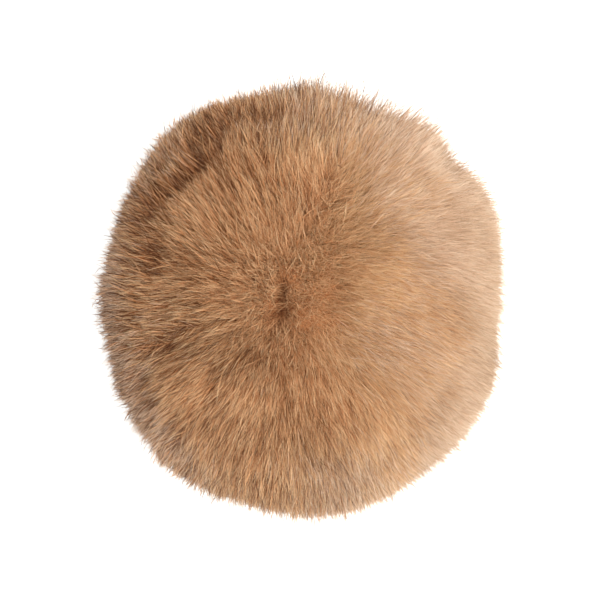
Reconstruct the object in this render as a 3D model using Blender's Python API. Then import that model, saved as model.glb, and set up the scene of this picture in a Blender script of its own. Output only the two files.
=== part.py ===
"""Pom pom of long fur pile, lying on its gathered back.

The ball is one solid. Its middle is a round ball of packed roots, and from each facet of that
ball grows one tapered lock of pile. Each lock stands apart from its neighbours, narrow at the
root, widest at its belly and pointed at its tip. Underneath, the locks are shorter and end level
on the ground. Lengths are in metres, +Z is up, and the origin is under the middle of the ball
on the ground.
"""

import math
import random

import bmesh
import bpy
from mathutils import Vector

# ---------------------------------------------------------------------------
# Driving dimensions
# ---------------------------------------------------------------------------

# Mean width across the tips, seen from above, and the height of a ball that lies down.
BALL_WIDTH = 0.120
CROWN_RISE = 0.057
CENTRE_HEIGHT = 0.0535

# Radius of the packed roots that all the locks are fused to.
ROOT_BALL_RADIUS = 0.036

# The hand-trimmed outline isn't a true circle. Each row adds a wave to its radius.
#                 waves   height as a     angle of its crest
#                 round   share of it     from +X, degrees
OUTLINE_LOBES = (
    (2, 0.034, 87.0),
    (4, 0.013, 40.0),
    (5, 0.006, 40.0),
    (7, 0.008, 25.0),
)

# Points strewn over the root ball. Their facets carry the locks, one lock each.
ROOT_POINTS = 273
ROOT_POINT_JITTER = 0.16
SPIRAL_TURN = math.pi * (3.0 - math.sqrt(5.0))

# First inset of a facet, before its corners go to the root of the lock.
FIRST_INSET = 0.0001

# How a lock grows. The width is a share of the room that the lock has at that height.
ROOT_WIDTH = 0.80
#                 share of the    share of    share of
#                 lock's length   its room    its bend
LOCK_STATIONS = (
    (0.38, 0.86, 0.10),
    (0.74, 0.80, 0.42),
    (1.00, 0.20, 1.00),
)

# Locks that the ball lies on end in a flat tip. A tip that would end this low stands too.
STANDING_TIP_SHARE = 0.58
STANDING_REACH = 0.0010

# Pile is brushed away from the crown, and no two locks are alike.
BRUSHED_LEAN = 0.0025
TIP_SCATTER = 0.0016
LENGTH_SCATTER = 0.018
SEED = 5

# Locks are shaded round up to this angle.
ROUND_ANGLE = math.radians(50.0)

DOWN = Vector((0.0, 0.0, -1.0))


# ---------------------------------------------------------------------------
# The outer form: how far the tips reach in each direction
# ---------------------------------------------------------------------------

def plan_radius(angle):
    """Radius of the outline seen from above, at an angle round from +X."""
    share = 1.0
    for waves, height, crest in OUTLINE_LOBES:
        share += height * math.cos(waves * (angle - math.radians(crest)))
    return 0.5 * BALL_WIDTH * share


def free_reach(direction):
    """Distance from the ball's centre to its tips, before the ground shortens them."""
    flat = math.hypot(direction.x, direction.y)
    side = flat / plan_radius(math.atan2(direction.y, direction.x))
    rise = direction.z / CROWN_RISE
    return 1.0 / math.hypot(side, rise)


def stands(direction):
    """Whether a lock in this direction ends on the ground."""
    tip_height = CENTRE_HEIGHT + free_reach(direction) * direction.z
    return direction.z < 0.0 and tip_height < STANDING_REACH


def reach(direction):
    """Distance from the ball's centre to the tip of a lock."""
    if stands(direction):
        return CENTRE_HEIGHT / -direction.z
    return free_reach(direction)


# ---------------------------------------------------------------------------
# The ball of roots
# ---------------------------------------------------------------------------

def root_directions(chance):
    """Evenly strewn directions on a spiral from top to bottom, each nudged a little."""
    directions = []
    spacing = math.sqrt(4.0 * math.pi / ROOT_POINTS)
    for index in range(ROOT_POINTS):
        height = 1.0 - (2.0 * index + 1.0) / ROOT_POINTS
        flat = math.sqrt(1.0 - height * height)
        turn = SPIRAL_TURN * index
        point = Vector((flat * math.cos(turn), flat * math.sin(turn), height))
        nudge = Vector([chance.gauss(0.0, 1.0) for _ in range(3)])
        directions.append((point + ROOT_POINT_JITTER * spacing * nudge).normalized())
    return directions


def make_root_ball(bm, chance):
    """A closed ball of flat facets, mostly four-sided, with one facet square to the ground."""
    for direction in root_directions(chance):
        bm.verts.new(direction * ROOT_BALL_RADIUS)
    bmesh.ops.convex_hull(bm, input=bm.verts[:])
    bmesh.ops.join_triangles(
        bm,
        faces=bm.faces[:],
        angle_face_threshold=math.pi,
        angle_shape_threshold=math.pi,
    )
    four_sided = [facet for facet in bm.faces if len(facet.verts) == 4]
    lowest = min(four_sided, key=lambda facet: facet.calc_center_median().z)
    turn = lowest.calc_center_median().rotation_difference(DOWN)
    bmesh.ops.rotate(bm, verts=bm.verts[:], matrix=turn.to_matrix())
    bmesh.ops.recalc_face_normals(bm, faces=bm.faces[:])


# ---------------------------------------------------------------------------
# The locks
# ---------------------------------------------------------------------------

def bend_of(direction, chance):
    """Sideways shift of a lock's tip: brushed away from the crown, plus its own stray."""
    away = DOWN - DOWN.dot(direction) * direction
    stray = Vector([chance.uniform(-1.0, 1.0) for _ in range(3)])
    stray -= stray.dot(direction) * direction
    return BRUSHED_LEAN * away + TIP_SCATTER * stray


def place_ring(facet, axis, corners, distance, width, shift):
    """Set the corners of a lock's cross-section, at a distance from the ball's centre."""
    for corner, edge_direction in zip(facet.verts, corners):
        direction = axis.lerp(edge_direction, width).normalized()
        corner.co = direction * distance + shift


def set_level(facet):
    """Move the corners of a tip down or up onto the ground."""
    for corner in facet.verts:
        corner.co.z = -CENTRE_HEIGHT


def grow_lock(bm, facet, chance):
    """Turn one facet of the root ball into one lock of pile."""
    middle = facet.calc_center_median()
    axis = middle.normalized()
    corners = [corner.co.normalized() for corner in facet.verts]
    standing = stands(axis)
    bend = bend_of(axis, chance)
    trim = chance.uniform(-LENGTH_SCATTER, LENGTH_SCATTER)
    if standing:
        bend = Vector((0.0, 0.0, 0.0))
        trim = 0.0
    length = (reach(axis) - ROOT_BALL_RADIUS) * (1.0 + trim)
    bmesh.ops.inset_individual(bm, faces=[facet], thickness=FIRST_INSET)
    place_ring(facet, axis, corners, middle.length, ROOT_WIDTH, Vector())
    for share, width, bend_share in LOCK_STATIONS:
        grown = bmesh.ops.extrude_discrete_faces(bm, faces=[facet])
        facet = grown["faces"][0]
        at_tip = share == 1.0
        if at_tip and standing:
            width = STANDING_TIP_SHARE
        distance = ROOT_BALL_RADIUS + length * share
        place_ring(facet, axis, corners, distance, width, bend * bend_share)
        if at_tip and standing:
            set_level(facet)


def centre_on_origin(bm):
    """Stand the ball on the ground with the middle of its outline over the origin."""
    across = [corner.co.x for corner in bm.verts]
    along = [corner.co.y for corner in bm.verts]
    shift = Vector((
        -0.5 * (min(across) + max(across)),
        -0.5 * (min(along) + max(along)),
        CENTRE_HEIGHT,
    ))
    bmesh.ops.translate(bm, verts=bm.verts[:], vec=shift)


# ---------------------------------------------------------------------------
# Material and object
# ---------------------------------------------------------------------------

def fur_material():
    """Matt camel-coloured pile."""
    material = bpy.data.materials.new("camel_fur")
    material.use_nodes = True
    shader = material.node_tree.nodes["Principled BSDF"]
    shader.inputs["Base Color"].default_value = (0.47, 0.25, 0.13, 1.0)
    shader.inputs["Roughness"].default_value = 0.85
    shader.inputs["Metallic"].default_value = 0.0
    shader.inputs["Sheen Weight"].default_value = 0.25
    return material


def make_pom_pom():
    """The whole ball of pile as one object."""
    chance = random.Random(SEED)
    bm = bmesh.new()
    make_root_ball(bm, chance)
    for facet in bm.faces[:]:
        grow_lock(bm, facet, chance)
    centre_on_origin(bm)
    bmesh.ops.recalc_face_normals(bm, faces=bm.faces[:])
    mesh = bpy.data.meshes.new("pom_pom")
    bm.to_mesh(mesh)
    bm.free()
    mesh.materials.append(fur_material())
    mesh.shade_smooth()
    mesh.set_sharp_from_angle(angle=ROUND_ANGLE)
    ball = bpy.data.objects.new("pom_pom", mesh)
    bpy.context.collection.objects.link(ball)
    return ball


def clear_scene():
    """Remove the objects of the start-up scene."""
    for thing in list(bpy.data.objects):
        bpy.data.objects.remove(thing, do_unlink=True)


clear_scene()
pom_pom = make_pom_pom()
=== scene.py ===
# %% [markdown]
# # A fur pom pom, hair by hair
#
# A fur pom pom is a ball of long, soft pile. The real one is a disc of fur cloth that is gathered
# behind, so all that shows is hair: hundreds of thousands of fine fibres that start on a hidden
# ball and end in a round, hand-trimmed outline.
#
# The lesson makes it in this order: the form of the ball, a few helpers for soft random fields,
# the lie of the pile with its partings and patches, the hidden ball, the hairs, their finish, and
# last the table, the light and the camera.

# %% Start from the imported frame
import math

import bpy
import numpy as np
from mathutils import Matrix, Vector


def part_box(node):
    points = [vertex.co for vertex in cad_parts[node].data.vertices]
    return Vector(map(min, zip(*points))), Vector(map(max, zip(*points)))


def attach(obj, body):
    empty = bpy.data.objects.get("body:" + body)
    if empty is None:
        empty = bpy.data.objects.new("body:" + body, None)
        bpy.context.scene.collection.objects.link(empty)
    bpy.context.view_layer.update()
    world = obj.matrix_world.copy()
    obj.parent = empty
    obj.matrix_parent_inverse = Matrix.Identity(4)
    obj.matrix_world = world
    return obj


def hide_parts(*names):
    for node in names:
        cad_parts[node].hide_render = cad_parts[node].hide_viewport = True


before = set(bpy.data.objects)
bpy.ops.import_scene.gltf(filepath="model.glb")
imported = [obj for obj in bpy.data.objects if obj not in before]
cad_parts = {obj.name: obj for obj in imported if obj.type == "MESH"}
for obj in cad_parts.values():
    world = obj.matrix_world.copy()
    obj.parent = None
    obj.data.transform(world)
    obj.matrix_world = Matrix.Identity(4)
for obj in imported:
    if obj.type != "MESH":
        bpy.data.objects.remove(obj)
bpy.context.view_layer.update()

BALL = "pom_pom"
low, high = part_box(BALL)
print("the ball's box in mm:", [round(1000 * (b - a), 1) for a, b in zip(low, high)])

# %% [markdown]
# ## The round form
#
# Trimmed fur is never a true circle. Seen from above, the outline is a circle with a few broad,
# low waves, and this one is a little longer than wide. From the side it is flatter, because the
# ball lies on its gathered back and its own weight presses it down.
#
# A formula describes this better than a sculpted mesh would: any direction from the middle of
# the ball gives one distance, and everything that grows on the ball can ask for it.

# %% How far the pile reaches in any direction
RADIUS = 0.060
CROWN_RISE = 0.057
CENTRE = np.array([0.0, 0.0, float(high.z) - CROWN_RISE])

# waves round, height as a share of the radius, angle of the crest in degrees from +X
OUTLINE_LOBES = (
    (1, 0.014, 25.0),
    (2, 0.034, 87.0),
    (3, 0.003, 15.0),
    (4, 0.013, 40.0),
    (5, 0.006, 40.0),
    (6, 0.003, 31.0),
    (7, 0.008, 25.0),
    (9, 0.003, 0.0),
)


def reach(directions):
    """Distance from the centre to the pile's surface, for an array of directions."""
    angle = np.arctan2(directions[:, 1], directions[:, 0])
    share = np.ones(len(directions))
    for waves, height, crest in OUTLINE_LOBES:
        share += height * np.cos(waves * (angle - math.radians(crest)))
    flat = np.hypot(directions[:, 0], directions[:, 1])
    return 1.0 / np.hypot(flat / (RADIUS * share), directions[:, 2] / CROWN_RISE)


reaches = [round(1000.0 * float(far), 1) for far in reach(np.eye(3))]
print("reach along +X, +Y and +Z in mm:", reaches)

# %% [markdown]
# ## Helpers: evenly strewn directions and soft random fields
#
# Hairs need starting points that are even but not regular. A spiral that turns by the golden
# angle spreads points evenly over a ball, and a small nudge hides its pattern. The top of the
# ball is what people look at, so the points are closer together there.
#
# Fur also varies softly from place to place: how it leans, how long it is, how pale it is. A sum
# of a few cosine waves in random directions gives such a field for a whole array at once.

# %% Directions on a ball
# How much more crowded the top is than the middle. The side that the ball lies on has fewer.
TOP_CROWDING = 0.6
GOLDEN_ANGLE = math.pi * (3.0 - math.sqrt(5.0))


def unit(vectors):
    """The same vectors, each one unit long."""
    return vectors / np.linalg.norm(vectors, axis=1, keepdims=True)


def strewn(count, nudge, chance):
    """Directions on a spiral over a ball, closer together at the top, each nudged a little."""
    passed = (np.arange(count) + 0.5) / count
    room = 1.0 + 2.0 * TOP_CROWDING * (1.0 + 0.5 * TOP_CROWDING - 2.0 * passed)
    height = (np.sqrt(room) - 1.0) / TOP_CROWDING
    flat = np.sqrt(1.0 - height * height)
    turn = GOLDEN_ANGLE * np.arange(count)
    points = np.column_stack((flat * np.cos(turn), flat * np.sin(turn), height))
    spacing = math.sqrt(4.0 * math.pi / count)
    return unit(points + nudge * spacing * chance.normal(size=points.shape))


# %% Soft random fields
def field(directions, width, seed, waves=20):
    """Smooth random heights, mostly from -1 to 1, with bumps about `width` metres wide."""
    chance = np.random.default_rng(seed)
    heading = unit(chance.normal(size=(waves, 3))) * math.pi * RADIUS / width
    phase = chance.uniform(0.0, 2.0 * math.pi, waves)
    return np.cos(directions @ heading.T + phase).sum(axis=1) / math.sqrt(waves)


def field3(directions, width, seed):
    """A smooth random vector at each direction."""
    return np.column_stack([field(directions, width, seed + part) for part in range(3)])


def fields(directions, rows):
    """A sum of smooth random heights. Each row has a height, a width in metres and a seed."""
    return sum(height * field(directions, width, seed) for height, width, seed in rows)


def across(vectors, directions):
    """The part of each vector that lies along the ball's surface."""
    return vectors - (vectors * directions).sum(axis=1, keepdims=True) * directions


# %% [markdown]
# ## The lie of the pile
#
# On the real ball the pile springs straight out at the crown, and from there it is brushed
# outward and back, each hair lying a little over the next, like thatch.
#
# So each hair gets a tip on the round form and a heading, which is straight out plus a lean away
# from the crown plus soft random fields at three widths. The lower part of a hair leans less
# than its upper part, so that hairs curve over. On one side of the ball the pile is sleek and on
# the other it is tousled, and most of what follows depends on how tousled a place is.

# %% The crown line
# The pile parts round a point at the top, and on its sleek side along a short line from there.
CROWN = unit(np.array([[-0.09, 0.01, 1.0]]))[0]
WHORL = unit(np.array([[0.11, 0.56, 1.0]]))[0]
LINE_BLEND = 0.06


def crown_line(directions):
    """The nearest point of the crown line to each direction."""
    line = WHORL - CROWN
    along = np.clip((directions - CROWN) @ line / (line @ line), 0.0, 1.0)
    aside = directions @ unit(np.cross(WHORL, CROWN)[None])[0]
    on_sleek_side = np.clip(0.5 + 0.5 * aside / LINE_BLEND, 0.0, 1.0)
    return unit(CROWN + (along * on_sleek_side)[:, None] * line)


# %% Sleek and tousled sides
SLEEK_SIDE = np.array([0.98, -0.10, 0.17])
SLEEK_CALM = 0.60
# How lively the pile is on the sleek side, and what is added on the other.
LIVELINESS = (SLEEK_CALM, 2.0 * (1.0 - SLEEK_CALM))


def tousled(directions):
    """0 where the pile is sleek, and 1 on the opposite side."""
    return np.clip(0.5 - 0.5 * (directions @ SLEEK_SIDE), 0.0, 1.0)


def by_side(pair, rough):
    """A value of the sleek side, plus what is added on the tousled side."""
    return pair[0] + pair[1] * rough


print("liveliness, sleek and tousled:", by_side(LIVELINESS, 0.0), round(by_side(LIVELINESS, 1.0), 2))

# %% Headings
BRUSH_FULL = 0.75
BRUSH_GROWTH = 1.2
BRUSH_END = 0.9
CROWN_CALM = 0.30
TINY = 1e-6
# width of the field in metres, its strength, its seed
WANDER = (
    (0.016, 0.11, 100),
    (0.006, 0.07, 200),
    (0.0025, 0.06, 300),
)


def headings(directions, brush):
    """Which way the pile lies at each direction, brushed away from the crown by `brush`."""
    away = across(-crown_line(directions), directions)
    sine = np.linalg.norm(away, axis=1, keepdims=True)
    away /= np.maximum(sine, TINY)
    brushed = np.clip(sine / BRUSH_FULL, 0.0, 1.0) ** BRUSH_GROWTH
    # The brushing fades towards the underside.
    below = np.clip(1.0 + directions[:, 2:3] / BRUSH_END, 0.0, 1.0)
    lie = directions + brush * brushed * below * away
    calm = CROWN_CALM + (1.0 - CROWN_CALM) * brushed
    calm *= by_side(LIVELINESS, tousled(directions)[:, None])
    for width, strength, seed in WANDER:
        lie += calm * strength * across(field3(directions, width, seed), directions)
    return unit(lie)


# %% [markdown]
# ## Partings, trims, holes and patches
#
# Handling leaves its marks in long pile. Here and there it opens in a short parting, and near the
# far left edge it folds back in a groove. In a parting the hairs are shorter and lean away from it
# on both sides, and besides the shade of its depth they are painted darker as shade. Round the
# rim a few tufts stick out, and a few places are trimmed closer. At the crown, where the cloth
# underneath is drawn together, the pile opens in two small holes, dark with their depth and with
# painted shade on their hairs. Some patches are paler or darker than the rest, and the two paler
# ones at the crown are painted light against the shade between its upright hairs.
#
# Each of these is a soft spot, placed as seen from above. The tables below hold them, one row a
# spot, so that any of them can be moved, deepened or left out.

# %% A soft spot, seen from above
MILLIMETRE = 0.001
PLAN_BOTTOM = -0.25


def seen_from_above(directions):
    """Where each direction meets the round form, seen from above, in millimetres."""
    return directions[:, :2] * reach(directions)[:, None] / MILLIMETRE


def place_on(directions, x, y, half_length, half_width, heading):
    """Where directions are on a spot, along and across it, and the spot's way across."""
    turn = math.radians(heading)
    along = np.array([math.cos(turn), math.sin(turn)])
    aside = np.array([-along[1], along[0]])
    offset = seen_from_above(directions) - np.array([x, y])
    return offset @ along / half_length, offset @ aside / half_width, aside


def bump(on_length, on_width, directions):
    """1 in the middle of a spot, falling off softly, on the upper side of the ball."""
    above = directions[:, 2] > PLAN_BOTTOM
    return above * np.exp(-0.5 * (on_length ** 2 + on_width ** 2))


# %% Partings
# x and y of the middle, half length and half width in millimetres, the heading in degrees, and
# the depth in millimetres
PARTINGS = (
    (5.5, 30.5, 5.5, 3.2, 80.0, 1.4),
    (8.5, 37.0, 2.4, 0.8, 60.0, 4.0),
    (-9.3, 52.7, 5.0, 1.5, 10.0, 4.0),
    (-10.8, 41.2, 3.5, 1.0, 105.0, 3.4),
    (-27.0, 47.6, 7.0, 1.8, 30.0, 5.5),
    (-30.5, 37.5, 7.0, 1.9, 40.0, 6.0),
    (-41.5, 27.5, 6.0, 1.8, 56.0, 5.0),
    (-42.0, 12.5, 4.5, 1.6, 80.0, 4.0),
    (-40.0, -13.2, 3.0, 1.3, 8.0, 4.2),
    (-33.0, -7.5, 3.2, 0.9, 10.0, 3.0),
    (-34.0, -38.5, 2.8, 1.0, 55.0, 4.0),
    (7.0, -36.0, 5.0, 0.5, 103.0, 3.0),
    (9.8, -44.5, 3.4, 0.5, 103.0, 2.6),
    (34.0, -37.0, 2.6, 0.7, 130.0, 2.4),
)
PARTING_PUSH = 0.45


def partings(directions):
    """How deep partings are, which way they push the pile, and how ruffled it is."""
    depths = np.zeros(len(directions))
    ruffled = np.zeros(len(directions))
    push = np.zeros((len(directions), 3))
    for *spot, depth in PARTINGS:
        on_length, on_width, aside = place_on(directions, *spot)
        depths += depth * MILLIMETRE * bump(on_length, on_width, directions)
        wide_share = bump(on_length, 0.5 * on_width, directions)
        push[:, :2] += (0.5 * on_width * wide_share)[:, None] * aside
        ruffled = np.maximum(ruffled, wide_share)
    return depths, PARTING_PUSH * across(push, directions), ruffled


print(len(PARTINGS), "partings")

# %% Tufts and closer trims round the rim
# the same columns, but the last is how much closer the pile is trimmed, and below zero in a tuft
RIM_TRIMS = (
    (-52.5, -25.5, 3.0, 1.0, 206.0, -1.4),
    (-38.0, -46.0, 3.0, 1.0, 231.0, -1.0),
    (-23.5, -55.5, 3.0, 0.8, 247.0, -1.0),
    (22.0, -57.0, 4.0, 9.0, 291.0, -0.8),
    (57.0, -3.0, 3.0, 1.4, 357.0, -0.6),
    (58.0, -11.0, 3.0, 4.0, 349.0, 1.2),
    (45.0, 39.0, 4.0, 5.0, 41.0, 3.6),
    (29.0, 52.0, 4.0, 4.0, 61.0, 1.0),
    (-10.0, 59.0, 3.0, 4.0, 100.0, 1.0),
    (20.0, 58.0, 4.0, 10.0, 73.0, 4.2),
    (-31.0, -52.0, 3.0, 3.0, 240.0, 0.8),
    (-58.0, 5.0, 3.0, 5.0, 175.0, -1.0),
    (-47.0, -36.0, 3.0, 4.0, 218.0, -0.8),
)


def trims(directions):
    """How much closer the pile is trimmed in metres, and below zero in tufts."""
    closer = np.zeros(len(directions))
    for *spot, depth in RIM_TRIMS:
        on_length, on_width, _ = place_on(directions, *spot)
        closer += depth * MILLIMETRE * bump(on_length, on_width, directions)
    return closer


print(len(RIM_TRIMS), "tufts and trims")

# %% The holes at the crown
# the same columns without the last. Both holes are equally deep, in metres.
HOLES = (
    (-5.4, 1.9, 2.4, 0.9, 80.0),
    (-6.2, -4.8, 1.9, 1.5, 50.0),
)
HOLE_DEPTH = 0.011


def holes(directions, spread=1.0):
    """1 in the middle of the holes and 0 away from them, for holes `spread` times as wide."""
    share = np.zeros(len(directions))
    for spot in HOLES:
        on_length, on_width, _ = place_on(directions, *spot)
        share = np.maximum(share, bump(on_length / spread, on_width / spread, directions))
    return share


print(len(HOLES), "holes at the crown")

# %% Paler and darker patches
# x and y of the middle and the width in millimetres, then how much paler the hairs are
PATCHES = (
    # The first two rows, paler at the crown, are painted light against the shade between its upright
    # hairs.
    (2.0, 0.0, 18.0, 0.37),
    (8.0, 2.0, 9.0, 0.26),
    (20.0, 22.0, 15.0, 0.18),
    (12.0, 40.0, 14.0, 0.10),
    (38.0, 36.0, 12.0, 0.07),
    (-48.0, 32.0, 10.0, -0.04),
    (-35.0, -41.0, 12.0, 0.20),
    (0.0, -50.0, 12.0, -0.06),
    (38.0, -38.0, 12.0, 0.05),
    (30.0, -7.0, 16.0, -0.08),
)


def paler(directions):
    """How much paler than most the hairs are at each direction."""
    plan = seen_from_above(directions)
    share = np.zeros(len(directions))
    for x, y, width, change in PATCHES:
        offset = (plan - np.array([x, y])) / width
        share += change * np.exp(-0.5 * (offset ** 2).sum(axis=1))
    return share * (directions[:, 2] > PLAN_BOTTOM)


print(len(PATCHES), "patches")

# %% [markdown]
# ## Meshes of many hairs
#
# Blender can grow hair curves, but those can't be exported as plain meshes. A hair is thinner
# than a pixel of any picture, so a slender blade will do: one point at the root, two side by side
# at its belly and one at the tip. That is two triangles, and the belly can be moved aside to
# bend the hair. All the hairs of a layer are built at once from arrays as one mesh.
#
# The flat of a blade faces out of the ball, give or take a turn. Where the pile is sleek the
# turns are small, so that neighbours catch the light alike. Where it is tousled, and at the
# crown, they are large.
#
# Each hair also gets a place on a map: across is its family and its tone, from dark to pale, and
# up is how far along the uncut hair a point is. The finish reads its colours from that map alone.

# %% One mesh from arrays of roots, bellies and tips
BELLY = 0.72
TONE_WIDTH = 0.006
MAP_NAME = "OFBake"
# Corners of a hair: 0 is the root, 1 and 2 are the belly's, and 3 is the tip. On the map the ends
# stay just inside the hair's own stretch.
BLADE = np.array([[0, 2, 1], [1, 2, 3]])
BLADE_ACROSS = np.array([[0, 1, -1], [-1, 1, 0]])
BLADE_ALONG = np.array([[0.01, BELLY, BELLY], [BELLY, BELLY, 0.99]])


def hair_points(hairs):
    """The four corners of each hair: a narrow blade with a bend at its belly."""
    roots, bellies, tips = hairs["roots"], hairs["bellies"], hairs["tips"]
    axis = unit(tips - roots)
    side = unit(np.cross(axis, hairs["outward"]))
    up = np.cross(side, axis)
    turn = hairs["turns"][:, None]
    half_width = 0.5 * hairs["thickness"][:, None] * (np.cos(turn) * side + np.sin(turn) * up)
    points = np.empty((len(roots), 4, 3), np.float32)
    points[:, 0] = roots
    points[:, 1] = bellies - half_width
    points[:, 2] = bellies + half_width
    points[:, 3] = tips
    return points


def hair_places(hairs):
    """Where the corners of both triangles of each hair are on the map."""
    places = np.empty((len(hairs["tones"]), 2, 3, 2), np.float32)
    places[..., 0] = hairs["tones"][:, None, None] + BLADE_ACROSS * TONE_WIDTH
    starts, ends = hairs["starts"][:, None, None], hairs["ends"][:, None, None]
    places[..., 1] = starts + (ends - starts) * BLADE_ALONG
    return places


def hair_mesh(name, hairs):
    """One mesh of many hairs, with its map."""
    count = len(hairs["roots"])
    faces = (np.arange(count)[:, None, None] * 4 + BLADE).reshape(-1, 3)
    mesh = bpy.data.meshes.new(name)
    mesh.vertices.add(count * 4)
    mesh.vertices.foreach_set("co", hair_points(hairs).ravel())
    mesh.loops.add(faces.size)
    mesh.loops.foreach_set("vertex_index", faces.ravel().astype(np.int32))
    mesh.polygons.add(len(faces))
    mesh.polygons.foreach_set("loop_start", np.arange(0, faces.size, 3, dtype=np.int32))
    mesh.polygons.foreach_set("loop_total", np.full(len(faces), 3, np.int32))
    layer = mesh.uv_layers.new(name=MAP_NAME)
    layer.uv.foreach_set("vector", hair_places(hairs).ravel())
    mesh.update(calc_edges=True)
    mesh.shade_smooth()
    return mesh


# %% [markdown]
# ## The hidden ball
#
# Under the long hairs is a dense woolly underfur, so thick that no light gets through it. Next
# to nothing of it shows, only a warm brown between the hairs, where they stand straight up or
# part. One closed ball stands for it. It dips with the partings and holes of the pile, and rises
# under the crown, where the hairs are too upright to hide it.

# %% The ball under the pile
UNDER_SUBDIVISIONS = 6
UNDER_SHARE = 0.865
UNDER_BUMPS = ((0.0008, 0.005, 400),)
UNDER_DIP = 0.8
UNDER_CLEARANCE = 0.0006
CROWN_FILL = 0.068
CROWN_FILL_WIDTH = 0.42
CROWN_FILL_MIDDLE = unit(np.array([[0.10, 0.0, 1.0]]))[0]


def under_distance(directions):
    """How far the underfur reaches at each direction."""
    dips = partings(directions)[0] + HOLE_DEPTH * holes(directions)
    off_middle = np.arccos(np.clip(directions @ CROWN_FILL_MIDDLE, -1.0, 1.0))
    share = UNDER_SHARE + CROWN_FILL * np.exp(-(off_middle / CROWN_FILL_WIDTH) ** 2)
    return share * reach(directions) + fields(directions, UNDER_BUMPS) - UNDER_DIP * dips


def under_ball():
    """A closed ball of underfur that stays just above the ground."""
    bpy.ops.mesh.primitive_ico_sphere_add(subdivisions=UNDER_SUBDIVISIONS, radius=1.0)
    ball = bpy.context.object
    ball.name = "ball_under_the_pile"
    mesh = ball.data
    points = np.empty(len(mesh.vertices) * 3, np.float32)
    mesh.vertices.foreach_get("co", points)
    directions = unit(points.reshape(-1, 3).astype(float))
    points = CENTRE + directions * under_distance(directions)[:, None]
    points[:, 2] = np.maximum(points[:, 2], UNDER_CLEARANCE)
    mesh.vertices.foreach_set("co", points.astype(np.float32).ravel())
    mesh.shade_smooth()
    return ball


under = under_ball()
print("ball under the pile:", len(under.data.polygons), "faces")

# %% [markdown]
# ## Wisps
#
# Long fur isn't even: hairs hold together in wisps, narrow ridges that run along the pile with
# gaps between them. That gives the sharp strokes, with shade between them, that make fur read as
# fur. A fine random field, smeared out along the lie of the pile, has just such ridges. Hairs are
# drawn sideways to the nearest ridge, and those in a gap end lower.

# %% Ridges along the pile
WISP_WIDTH = 0.0007
WISP_STEP = 0.0008
WISP_STEPS = 6
WISP_PROBE = 0.3
WISP_SEED = 950


def ridge(directions, lie):
    """Height of the wisps: a fine random field, smeared out along the lie of the pile."""
    height = np.zeros(len(directions))
    for step in range(WISP_STEPS):
        back = directions - (step * WISP_STEP / RADIUS) * lie
        height += field(unit(back), WISP_WIDTH, WISP_SEED)
    return height / math.sqrt(WISP_STEPS)


def wisps(directions):
    """Height of the wisps at each direction, and the way up to the nearest ridge."""
    lie = unit(across(headings(directions, 1.0), directions) + TINY)
    aside = WISP_PROBE * WISP_WIDTH / RADIUS * np.cross(directions, lie)
    left = ridge(unit(directions + aside), lie)
    right = ridge(unit(directions - aside), lie)
    way = np.clip(left - right, -1.0, 1.0)[:, None] * np.cross(directions, lie)
    return ridge(directions, lie), way


# %% [markdown]
# ## Growing the pile
#
# Most hairs are grown in fine points: four hairs start side by side and end close together. Four
# layers hold them, because a single mesh of them all would be too heavy to handle. A fifth layer
# of thin single hairs reaches a little further and makes the soft fuzzy edge.
#
# One table row says how a kind of hair grows. The steps below follow each hair as a trimmer
# would: what the fur is like where it grows, which way it points, how far out it ends, and last
# how pale and how stout it is.

# %% Two kinds of hair
# points and hairs a point, how thick a hair is, and the spread of the roots, bellies and tips of
# a point, in metres. Then how far a hair and a whole point stray from their heading, how far the
# longest stand out at the wild side, the share of the ball's radius that tips reach, and how
# unevenly they end, by point and by hair.
FINE_POINTS = dict(
    points=24000, hairs=4, thickness=0.00016,
    root_spread=0.0006, belly_spread=0.0005, tip_spread=0.0004,
    stray=0.05, point_stray=0.04, wild=0.0,
    reach=1.018, point_scatter=0.010, hair_scatter=0.014,
)
SINGLE_HAIRS = dict(
    points=99000, hairs=1, thickness=0.00011,
    root_spread=0.0012, belly_spread=0.0008, tip_spread=0.0012,
    stray=0.11, point_stray=0.0, wild=0.150,
    reach=1.058, point_scatter=0.010, hair_scatter=0.040,
)
PILE_LAYERS = 4
pointed_hairs = PILE_LAYERS * FINE_POINTS["points"] * FINE_POINTS["hairs"]
print(pointed_hairs, "hairs in points and", SINGLE_HAIRS["points"], "single hairs")

# %% What the fur is like where the hairs grow
POINT_NUDGE = 0.45
CROWN_WIDTH = 0.36


def bed_of(kind, chance):
    """The points that hairs grow from, what the fur is like there, and which point each is of."""
    points = strewn(kind["points"], POINT_NUDGE, chance)
    depths, push, ruffled = partings(points)
    hole = holes(points)
    opened = depths + HOLE_DEPTH * hole
    near = (points * crown_line(points)).sum(axis=1)
    crown = np.exp(-(np.arccos(np.clip(near, -1.0, 1.0)) / CROWN_WIDTH) ** 2)
    return dict(
        points=points, hairs=np.repeat(np.arange(kind["points"]), kind["hairs"]),
        opened=opened, closer=opened + trims(points), push=push, ruffled=ruffled,
        hole=hole, crown=crown, rough=tousled(points),
    )


# %% Which way each hair points
LOWER_BRUSH = 0.40
UPPER_BRUSH = 1.00
LOWER_SHARE = 0.5
POINT_WAY = (0.4, 1.2)
RUFFLED_STRAY = 0.20
CROWN_STRAY = 0.25
# Hairs round a hole are orderly, and those in it cross each other.
HOLE_CALM = 0.8
HOLE_CALM_SPREAD = 1.7
HOLE_STRAY = 0.6


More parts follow.
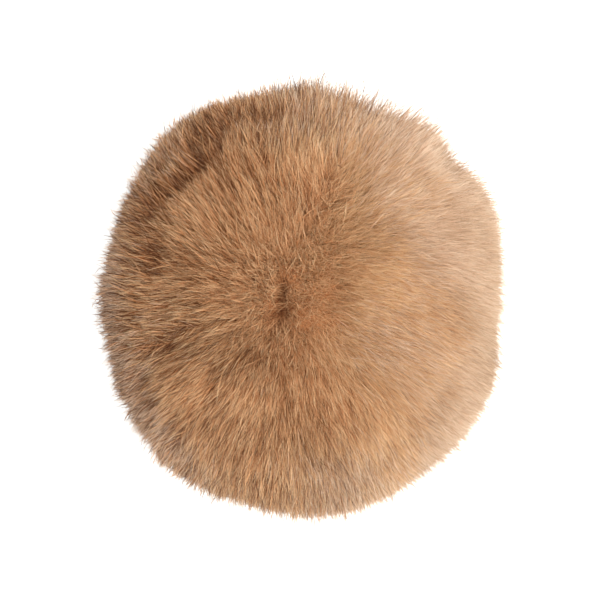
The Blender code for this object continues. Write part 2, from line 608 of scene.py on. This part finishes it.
def ways(kind, bed, chance):
    """Which way the lower and the upper part of each hair point."""
    points, hairs, rough, push = bed["points"], bed["hairs"], bed["rough"], bed["push"]
    stray = kind["stray"] + RUFFLED_STRAY * bed["ruffled"] + CROWN_STRAY * bed["crown"]
    stray *= by_side(LIVELINESS, rough)
    stray *= 1.0 - HOLE_CALM * holes(points, HOLE_CALM_SPREAD)
    stray += HOLE_STRAY * bed["hole"]
    own_way = stray[hairs, None] * across(chance.normal(size=(len(hairs), 3)), points[hairs])
    point_way = kind["point_stray"] * across(chance.normal(size=points.shape), points)
    own_way += (by_side(POINT_WAY, rough)[:, None] * point_way)[hairs]
    lower = (headings(points, LOWER_BRUSH) + LOWER_SHARE * push)[hairs] + LOWER_SHARE * own_way
    upper = (headings(points, UPPER_BRUSH) + push)[hairs] + own_way
    return unit(lower), unit(upper)


# %% How far out each hair ends
# Most hairs end just under the round form, and some stop well short of it.
WISP_TOP = 0.8
WISP_DEPTH = (0.004, 0.029)
UNEVENNESS = (0.7, 0.6)
LUMPS = (
    (0.007, 0.014, 500),
    (0.006, 0.005, 600),
)
CROWN_REACH = 1.01
# At one place on the rim long single hairs stand out. Few of them are really long.
WILD_SIDE = unit(np.array([[0.36, 0.93, 0.10]]))[0]
WILD_WIDTH = 0.07
WILD_RARITY = 3


def shortfalls(kind, bed, wisp, chance):
    """How far each hair stops short of the round form, as a share of the radius."""
    hairs, rough = bed["hairs"], bed["rough"]
    by_wisp = by_side(WISP_DEPTH, rough) * np.maximum(WISP_TOP - wisp, 0.0)
    by_point = np.abs(chance.normal(0.0, kind["point_scatter"], kind["points"]))
    by_hair = chance.exponential(kind["hair_scatter"], len(hairs))
    return (by_wisp + by_point)[hairs] + by_hair * by_side(UNEVENNESS, rough)[hairs]


def distances(kind, bed, short, chance):
    """How far from the centre each hair ends."""
    points, hairs = bed["points"], bed["hairs"]
    wild = kind["wild"] * np.exp(-((1.0 - points @ WILD_SIDE) / WILD_WIDTH))[hairs]
    wild *= chance.uniform(0.0, 1.0, len(hairs)) ** WILD_RARITY
    top = kind["reach"] - (kind["reach"] - CROWN_REACH) * bed["crown"] + fields(points, LUMPS)
    return reach(points)[hairs] * (top[hairs] + wild - short) - bed["closer"][hairs]


# %% Roots, bellies and tips
HAIR_LENGTH = 0.0180
LENGTH_RANGE = (0.85, 1.10)
WISP_PULL = (0.00006, 0.00028)
TIP_SPREAD = (1.5, -0.6)
GROUND_CLEARANCE = 0.0003


def shapes(kind, bed, chance):
    """Roots, bellies and tips of the hairs, and how far each stops short."""
    points, hairs, rough = bed["points"], bed["hairs"], bed["rough"]
    lower, upper = ways(kind, bed, chance)
    wisp, uphill = wisps(points)
    short = shortfalls(kind, bed, wisp, chance)
    distance = distances(kind, bed, short, chance)
    tip_offset = across(chance.normal(size=upper.shape), upper)
    tip_offset *= kind["tip_spread"] * by_side(TIP_SPREAD, rough)[hairs, None]
    belly_offset = across(chance.normal(size=upper.shape), upper)
    length = HAIR_LENGTH * chance.uniform(*LENGTH_RANGE, len(hairs))[:, None]
    pull = by_side(WISP_PULL, rough)[:, None] * uphill
    tips = CENTRE + points[hairs] * distance[:, None] + tip_offset + pull[hairs]
    bellies = tips - upper * (1.0 - BELLY) * length + kind["belly_spread"] * belly_offset
    roots = bellies - lower * BELLY * length + kind["root_spread"] * belly_offset
    for row in (bellies, tips):
        row[:, 2] = np.maximum(row[:, 2], GROUND_CLEARANCE)
    return roots, bellies, tips, short


# %% [markdown]
# ## Tones and families of hairs
#
# No two hairs of a real pelt are the same colour, and good fake fur copies that. On the tousled
# side, away from the lights, dark and pale hairs mix, and on the sleek side they are nearly alike.
# The wider mix and the dark hairs there are partly painted shade between hairs. Hairs that stop
# short are painted darker, and those that reach further paler: painted shade that gives the gaps
# between wisps their depth.
#
# There are three families of hairs: golden, camel and beige. Golden ones show most on the
# tousled side and at the crown, camel ones on the sleek side, and beige ones at the rim, most of
# all at two opposite sides of it. Where they show is partly painted light: the saturated golden
# hairs are painted shade on the side away from the lights and deep in the crown, and the pale
# beige ones painted light that shines through the thin tips at the rim.

# %% How pale each hair is
TONE_FIELDS = (
    (0.05, 0.012, 700),
    (0.03, 0.004, 800),
)
# Spread of tones by point and by hair, on the sleek side and added on the tousled side. The wider
# spread by hair there is partly painted shade between hairs.
POINT_TONE = (0.03, 0.05)
TONE_AND_SHADE_SCATTER = (0.07, 0.46)
CROWN_MIX = 0.9
# Hairs are painted darker by this much for each share of the radius they stop short of the mean, and
# paler beyond it, as shade in the gaps: on the sleek side and added on the tousled side.
DEPTH_PAINTED_SHADE = (1.0, 12.0)
MEAN_SHORT = 0.042
# Painted shade in partings and holes: darker by this much a metre of depth, as far as this depth.
PARTING_PAINTED_SHADE = 70.0
PARTING_SHADE_DEPTH = 0.006
# This share of the hairs of the tousled side is painted dark by this much, as shade between hairs.
PAINTED_SHADE_SHARE = 0.40
PAINTED_SHADE_SIDE = (-0.3, 1.6)
PAINTED_SHADE_TONE = 0.45


def tones(kind, bed, short, chance):
    """How pale each hair is, from 0 to 1, and how much painted shade darkens it."""
    points, hairs, rough, crown = bed["points"], bed["hairs"], bed["rough"], bed["crown"]
    tone = 0.5 + fields(points, TONE_FIELDS) + paler(points)
    tone += by_side(POINT_TONE, rough) * chance.normal(size=kind["points"])
    # Partly painted shade between hairs on the tousled side.
    tone_and_shade = by_side(TONE_AND_SHADE_SCATTER, np.maximum(rough, CROWN_MIX * crown))[hairs]
    tone = tone[hairs] + tone_and_shade * chance.normal(size=len(hairs))
    # Painted shade in the gaps: hairs that stop short are darker.
    tone += by_side(DEPTH_PAINTED_SHADE, rough)[hairs] * (MEAN_SHORT - short)
    # Painted shade in partings and holes.
    tone -= PARTING_PAINTED_SHADE * np.clip(bed["opened"], 0.0, PARTING_SHADE_DEPTH)[hairs]
    # Painted shade between hairs: some hairs of the tousled side are dark.
    shaded_share = PAINTED_SHADE_SHARE * np.clip(by_side(PAINTED_SHADE_SIDE, rough), 0.0, 1.0)[hairs]
    tone -= PAINTED_SHADE_TONE * (chance.uniform(size=len(hairs)) < shaded_share)
    return np.clip(tone, 0.0, 1.0)


# %% Which family each hair is of
FAMILY_FIELDS = ((0.3, 0.016, 900),)
FAMILY_SCATTER = 0.4
# Golden hairs on the side away from the lights and at the crown are painted shade, and beige ones
# round the rim are painted light through the thin tips.
PAINTED_SHADE_GOLDEN_SIDE = 0.30
PAINTED_SHADE_GOLDEN_CROWN = 0.7
PAINTED_RIM_BEIGE = 1.6
PAINTED_RIM_LOBES = 0.60
PAINTED_RIM_CREST = math.radians(20.0)
# Families lie side by side on the map, from the first place on, a step apart and a span wide.
FIRST_PLACE = 0.02
FAMILY_STEP = 0.33
FAMILY_SPAN = 0.28


def families(kind, bed, chance):
    """The family of each hair: 0 is golden, 1 is camel and 2 is beige."""
    points = bed["points"]
    rim = np.hypot(points[:, 0], points[:, 1])
    round_crown = np.arctan2(points[:, 1], points[:, 0])
    family = fields(points, FAMILY_FIELDS)
    family += chance.normal(0.0, FAMILY_SCATTER, kind["points"])
    # Painted shade: golden on the side away from the lights and at the crown. Painted light: beige
    # round the rim.
    family += 0.5 + 0.5 * np.clip(points[:, 0] / PAINTED_SHADE_GOLDEN_SIDE, -1.0, 1.0)
    family += PAINTED_RIM_BEIGE * rim ** 3
    family += PAINTED_RIM_LOBES * rim * np.cos(2.0 * (round_crown - PAINTED_RIM_CREST))
    family -= PAINTED_SHADE_GOLDEN_CROWN * bed["crown"]
    return np.clip(np.round(family), 0.0, 2.0)[bed["hairs"]]


# %% How stout each hair is
THICKNESS_RANGE = (0.7, 1.3)
# Hairs of the tousled side and of the crown look stouter.
ROUGH_STOUT = 0.65
CROWN_STOUT = 0.25
# Hairs that would cross a hole from outside are thin.
HOLE_THINNING = 0.85


def thicknesses(kind, bed, bellies, tips, chance):
    """How thick each hair is."""
    hairs, outside = bed["hairs"], 1.0 - bed["hole"]
    stout = 1.0 + ROUGH_STOUT * bed["rough"] + CROWN_STOUT * bed["crown"]
    thickness = kind["thickness"] * chance.uniform(*THICKNESS_RANGE, len(hairs)) * stout[hairs]
    for part in (tips, 0.5 * tips + 0.5 * bellies, bellies):
        thickness *= 1.0 - HOLE_THINNING * holes(unit(part - CENTRE)) * outside[hairs]
    return thickness


# %% One layer of hairs
# Hairs are pale towards their ends. Those of the sleek side and of the crown are pale from further
# down; at the crown this is painted light against the shade between its upright hairs. The crown
# is trimmed closely, so that some of the pale ends are cut off there. In a parting the hairs are
# not pale from further down and twice as much of the pale ends is left off, as painted shade.
PALE_START = 0.50
# Crown hairs are pale from this far down, as painted light against the shade between them.
CROWN_PAINTED_LIGHT_START = 0.79
CROWN_TRIM = 0.06
PARTING_SHADE_TRIM = 0.12
FULL_PARTING = 0.004
# How far blades are turned from facing out, in radians.
TURN = (0.35, 0.80)


def grow(kind, seed):
    """One layer of hairs: where they lie, how thick they are, and their places on the map."""
    chance = np.random.default_rng(seed)
    bed = bed_of(kind, chance)
    hairs, rough, crown = bed["hairs"], bed["rough"], bed["crown"]
    roots, bellies, tips, short = shapes(kind, bed, chance)
    tone = tones(kind, bed, short, chance)
    family = families(kind, bed, chance)
    thickness = thicknesses(kind, bed, bellies, tips, chance)
    # Hairs in partings and holes get painted shade: no early paleness and shorter pale ends.
    opened = np.clip(bed["opened"] / FULL_PARTING, 0.0, 1.0)
    starts = np.maximum(PALE_START * (1.0 - rough), CROWN_PAINTED_LIGHT_START * crown) * (1.0 - opened)
    ends = 1.0 - CROWN_TRIM * crown - PARTING_SHADE_TRIM * opened
    turns = by_side(TURN, rough + crown)[hairs] * chance.normal(size=len(hairs))
    return dict(
        roots=roots, bellies=bellies, tips=tips, outward=bed["points"][hairs],
        thickness=thickness, turns=turns, starts=starts[hairs], ends=ends[hairs],
        tones=FIRST_PLACE + FAMILY_STEP * family + FAMILY_SPAN * tone,
    )


# %% [markdown]
# ## The finish of the fur
#
# Camel-coloured pile is a deep orange-brown towards its roots and pale at its tips. Every hair
# differs a little, and each family runs from dark to pale. Two ramps hold the colours of the
# roots and of the tips, one family after the other. A third ramp fades from root to tip. Fur has
# a low, soft shine, so the finish is rough and reflects little.

# %% Colour ramps
# dark, middle and pale of each family: red, green and blue
ROOT_COLOURS = (
    ((0.07, 0.018, 0.005), (0.28, 0.084, 0.026), (0.64, 0.250, 0.090)),
    ((0.07, 0.020, 0.006), (0.28, 0.092, 0.030), (0.64, 0.280, 0.110)),
    ((0.07, 0.022, 0.008), (0.28, 0.102, 0.038), (0.64, 0.305, 0.138)),
)
TIP_COLOURS = (
    ((0.13, 0.042, 0.013), (0.75, 0.380, 0.180), (1.00, 0.720, 0.440)),
    ((0.13, 0.046, 0.016), (0.75, 0.430, 0.222), (1.00, 0.770, 0.500)),
    ((0.13, 0.054, 0.022), (0.75, 0.515, 0.350), (1.00, 0.840, 0.690)),
)
# how far along the hair, and how much of the tip's colour there is
ALONG_THE_HAIR = (
    (0.45, 0.00),
    (0.78, 0.28),
    (0.98, 1.00),
)


def colour_ramp(nodes, stops):
    """A colour ramp node with these stops."""
    node = nodes.new("ShaderNodeValToRGB")
    ramp = node.color_ramp
    while len(ramp.elements) < len(stops):
        ramp.elements.new(0.5)
    for element, (place, colour) in zip(ramp.elements, stops):
        element.position = place
        element.color = (*colour, 1.0)
    return node


def family_ramp(nodes, shades_of_families):
    """A colour ramp that holds dark, middle and pale of each family of hairs."""
    stops = []
    for number, shades in enumerate(shades_of_families):
        for shade, colour in enumerate(shades):
            place = FIRST_PLACE + FAMILY_STEP * number + 0.5 * FAMILY_SPAN * shade
            stops.append((place, colour))
    return colour_ramp(nodes, stops)


# %% Fur material
FUR_ROUGHNESS = 0.62
FUR_SHINE = 0.2


def fur_material():
    """The finish of all the hairs, read from their places on the map."""
    material = bpy.data.materials.new("camel_fur_hairs")
    material.use_nodes = True
    nodes, links = material.node_tree.nodes, material.node_tree.links
    shader = nodes["Principled BSDF"]
    place = nodes.new("ShaderNodeUVMap")
    place.uv_map = MAP_NAME
    split = nodes.new("ShaderNodeSeparateXYZ")
    links.new(place.outputs["UV"], split.inputs["Vector"])
    root = family_ramp(nodes, ROOT_COLOURS)
    tip = family_ramp(nodes, TIP_COLOURS)
    along = colour_ramp(nodes, [(far, (share,) * 3) for far, share in ALONG_THE_HAIR])
    links.new(split.outputs["X"], root.inputs["Fac"])
    links.new(split.outputs["X"], tip.inputs["Fac"])
    links.new(split.outputs["Y"], along.inputs["Fac"])
    mix = nodes.new("ShaderNodeMix")
    mix.data_type = "RGBA"
    links.new(along.outputs["Color"], mix.inputs["Factor"])
    links.new(root.outputs["Color"], mix.inputs["A"])
    links.new(tip.outputs["Color"], mix.inputs["B"])
    links.new(mix.outputs["Result"], shader.inputs["Base Color"])
    shader.inputs["Roughness"].default_value = FUR_ROUGHNESS
    shader.inputs["Specular IOR Level"].default_value = FUR_SHINE
    return material


# %% Grow all the layers
PILE_SEED = 1000
SINGLE_SEED = 1100
fur = fur_material()


def add_layer(name, kind, seed):
    """One mesh of hairs that rides on the ball and stands for it. Returns its triangles."""
    mesh = hair_mesh(name, grow(kind, seed))
    mesh.materials.append(fur)
    pile = bpy.data.objects.new(name, mesh)
    bpy.context.scene.collection.objects.link(pile)
    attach(pile, "root")
    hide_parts(BALL)
    print(name, len(mesh.polygons), "triangles")
    return len(mesh.polygons)


total = len(under.data.polygons)
for number in range(1, PILE_LAYERS + 1):
    total += add_layer(f"pile_layer_{number}", FINE_POINTS, PILE_SEED + number)
total += add_layer("single_hairs", SINGLE_HAIRS, SINGLE_SEED)
print("all pieces:", total, "triangles")

# %% [markdown]
# ## The finish of the hidden ball
#
# Underfur is crimped and woolly, and matt all over. What shows of it is a glimpse between hairs,
# so a fine speckle of two browns and a little relief are enough.

# %% Underfur material
# where the ramp of the speckle is dark and where it is pale, with their colours
SPECKLE = (
    (0.35, (0.32, 0.135, 0.055)),
    (0.70, (0.56, 0.265, 0.115)),
)
SPECKLE_SCALE = 900.0
RELIEF = 0.0006
RELIEF_STRENGTH = 0.6
UNDER_ROUGHNESS = 0.9


def under_material():
    """Warm speckled brown with a woolly relief."""
    material = bpy.data.materials.new("roots_of_the_pile")
    material.use_nodes = True
    nodes, links = material.node_tree.nodes, material.node_tree.links
    shader = nodes["Principled BSDF"]
    place = nodes.new("ShaderNodeTexCoord")
    speckle = nodes.new("ShaderNodeTexNoise")
    speckle.inputs["Scale"].default_value = SPECKLE_SCALE
    links.new(place.outputs["Object"], speckle.inputs["Vector"])
    browns = colour_ramp(nodes, SPECKLE)
    links.new(speckle.outputs["Fac"], browns.inputs["Fac"])
    links.new(browns.outputs["Color"], shader.inputs["Base Color"])
    relief = nodes.new("ShaderNodeBump")
    relief.inputs["Strength"].default_value = RELIEF_STRENGTH
    relief.inputs["Distance"].default_value = RELIEF
    links.new(speckle.outputs["Fac"], relief.inputs["Height"])
    links.new(relief.outputs["Normal"], shader.inputs["Normal"])
    shader.inputs["Roughness"].default_value = UNDER_ROUGHNESS
    return material


under.data.materials.append(under_material())
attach(under, "root")
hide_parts(BALL)
print("the ball under the pile is finished as", under.data.materials[0].name)

# %% [markdown]
# ## Table, light and camera
#
# Small goods like this are best shown from straight above on a lit white table, so that no hard
# shadow shows round them. Two big soft lights stand on the right, one to the front and one to the
# back. They and the painted shade on the hairs of the tousled side are the reason that the left
# side of the ball is darker. A low bluish light cools the right edge, as a window would, and a warm
# one shines down on the crown. The rest of the light comes from all round.

# %% A white table that glows a little
TABLE_SIZE = 6.0
GLOW = 0.70
bpy.ops.mesh.primitive_plane_add(size=TABLE_SIZE)
table = bpy.context.object
table.name = "light_table"
white = bpy.data.materials.new("white_table")
white.use_nodes = True
table_shader = white.node_tree.nodes["Principled BSDF"]
table_shader.inputs["Base Color"].default_value = (0.88, 0.88, 0.88, 1.0)
table_shader.inputs["Roughness"].default_value = 0.8
table_shader.inputs["Specular IOR Level"].default_value = 0.1
table_shader.inputs["Emission Color"].default_value = (1.0, 1.0, 1.0, 1.0)
table_shader.inputs["Emission Strength"].default_value = GLOW
table.data.materials.append(white)
print("a table", TABLE_SIZE, "m wide")

# %% Light from all round
ROOM_LIGHT = 0.40
world = bpy.data.worlds.new("soft_room")
world.use_nodes = True
room = world.node_tree.nodes["Background"]
room.inputs["Color"].default_value = (1.0, 1.0, 1.0, 1.0)
room.inputs["Strength"].default_value = ROOM_LIGHT
bpy.context.scene.world = world

# %% Soft lights from the right and from above
# name, place and size in metres, power in watts and colour
LIGHTS = (
    ("key_light_front", (0.45, -0.60, 0.50), 0.8, 3.9, (0.90, 1.0, 0.98)),
    ("key_light_back", (0.45, 0.60, 0.50), 0.8, 3.15, (0.90, 1.0, 0.96)),
    ("window_light", (0.80, 0.00, 0.15), 0.5, 2.2, (0.30, 0.75, 1.0)),
    ("ceiling_light", (0.15, 0.0, 1.2), 0.3, 8.9, (1.0, 0.88, 0.74)),
)


def soft_light(name, place, size, power, colour):
    """A square soft light that faces the ball."""
    lamp = bpy.data.lights.new(name, "AREA")
    lamp.shape = "SQUARE"
    lamp.size = size
    lamp.energy = power
    lamp.color = colour
    holder = bpy.data.objects.new(name, lamp)
    bpy.context.scene.collection.objects.link(holder)
    holder.location = place
    aim = Vector(CENTRE.tolist()) - holder.location
    holder.rotation_mode = "QUATERNION"
    holder.rotation_quaternion = aim.to_track_quat("-Z", "Y")


for row in LIGHTS:
    soft_light(*row)
print(len(LIGHTS), "soft lights")

# %% The camera, straight above the crown
# The lens and the sensor are in millimetres. Half the ball's mean width fills this many pixels
# of a picture of the given width.
LENS = 135.0
SENSOR = 36.0
BALL_PIXELS = 209.9
PICTURE_PIXELS = 600.0
bpy.context.scene.view_settings.view_transform = "Standard"
camera_data = bpy.data.cameras.new("camera")
camera_data.lens = LENS
camera_data.sensor_width = SENSOR
camera = bpy.data.objects.new("camera", camera_data)
bpy.context.scene.collection.objects.link(camera)
edge_slope = BALL_PIXELS / PICTURE_PIXELS * SENSOR / LENS
camera_distance = RADIUS / math.sin(math.atan(edge_slope))
camera.location = (0.0, 0.0, CENTRE[2] + camera_distance)
bpy.context.scene.camera = camera
print("camera", round(camera_distance, 3), "m above the middle of the ball")
